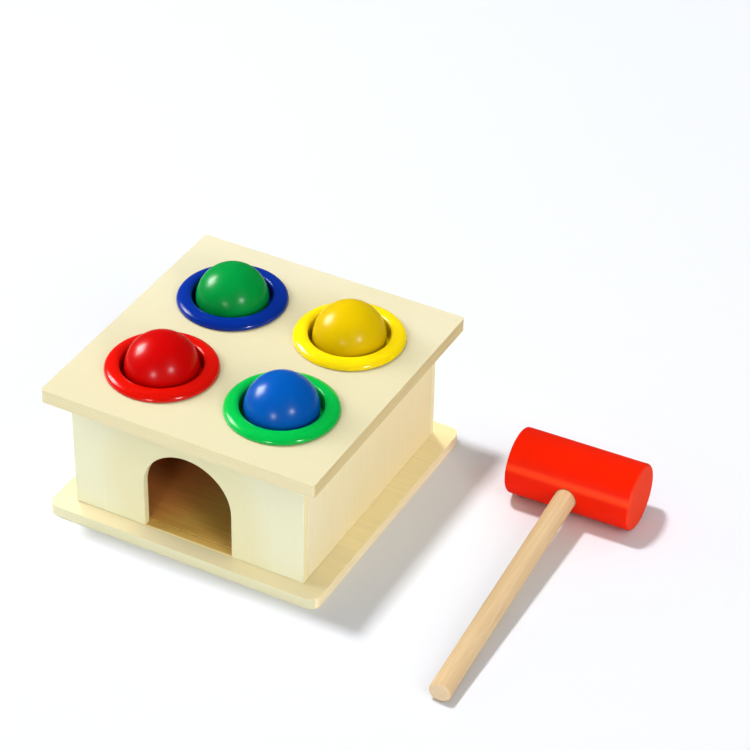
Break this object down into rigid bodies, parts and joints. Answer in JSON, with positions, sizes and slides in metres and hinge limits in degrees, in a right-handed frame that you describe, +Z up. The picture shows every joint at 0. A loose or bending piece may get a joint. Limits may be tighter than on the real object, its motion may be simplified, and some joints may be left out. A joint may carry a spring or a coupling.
{
  "type": "hammer bench",
  "caption": "Toy hammer bench: a plywood box with an arched doorway, soft rings in its top that hold wooden balls, and a wooden mallet beside it.",
  "frame": {"origin": "centre of the base board's underside, on the floor", "axes": "+Z up, +X to the right along the front wall, and the doorway in the front wall faces -Y"},
  "size_m": [0.2116, 0.1464, 0.0784],
  "materials": {
    "plywood": "sanded pale basswood plywood, unfinished",
    "ramp_plywood": "sanded plywood, slightly darker",
    "red_vinyl": "soft moulded vinyl, glossy",
    "green_vinyl": "soft moulded vinyl, glossy",
    "blue_vinyl": "soft moulded vinyl, glossy",
    "yellow_vinyl": "soft moulded vinyl, glossy",
    "red_paint": "gloss paint on a turned ball",
    "blue_paint": "gloss paint on a turned ball",
    "green_paint": "gloss paint on a turned ball",
    "yellow_paint": "gloss paint on a turned ball",
    "mallet_red": "satin paint on turned wood",
    "dowel": "sanded dowel, unfinished"
  },
  "bodies": {
    "bench": {"base_board": "plywood", "front_wall": "plywood", "rear_wall": "plywood", "left_wall": "plywood", "right_wall": "plywood", "top_board": "plywood", "ramp_board": "ramp_plywood", "ring_red": "red_vinyl", "ring_green": "green_vinyl", "ring_blue": "blue_vinyl", "ring_yellow": "yellow_vinyl"},
    "red_ball": {"ball_red": "red_paint"},
    "blue_ball": {"ball_blue": "blue_paint"},
    "green_ball": {"ball_green": "green_paint"},
    "yellow_ball": {"ball_yellow": "yellow_paint"},
    "hammer": {"hammer_head": "mallet_red", "hammer_handle": "dowel"}
  },
  "joints": [
    {"name": "red_ball_drop", "type": "slide", "parent": "bench", "child": "red_ball", "axis": [0, 0, 1], "range_m": [-0.0387, 0.04], "deforming": ["ring_red"]},
    {"name": "blue_ball_drop", "type": "slide", "parent": "bench", "child": "blue_ball", "axis": [0, 0, 1], "range_m": [-0.0387, 0.04], "deforming": ["ring_green"]},
    {"name": "green_ball_drop", "type": "slide", "parent": "bench", "child": "green_ball", "axis": [0, 0, 1], "range_m": [-0.0311, 0.04], "deforming": ["ring_blue"]},
    {"name": "yellow_ball_drop", "type": "slide", "parent": "bench", "child": "yellow_ball", "axis": [0, 0, 1], "range_m": [-0.0311, 0.04], "deforming": ["ring_yellow"]},
    {"name": "hammer_lift", "type": "slide", "parent": "bench", "child": "hammer", "axis": [0, 0, 1], "range_m": [0, 0.12]}
  ]
}
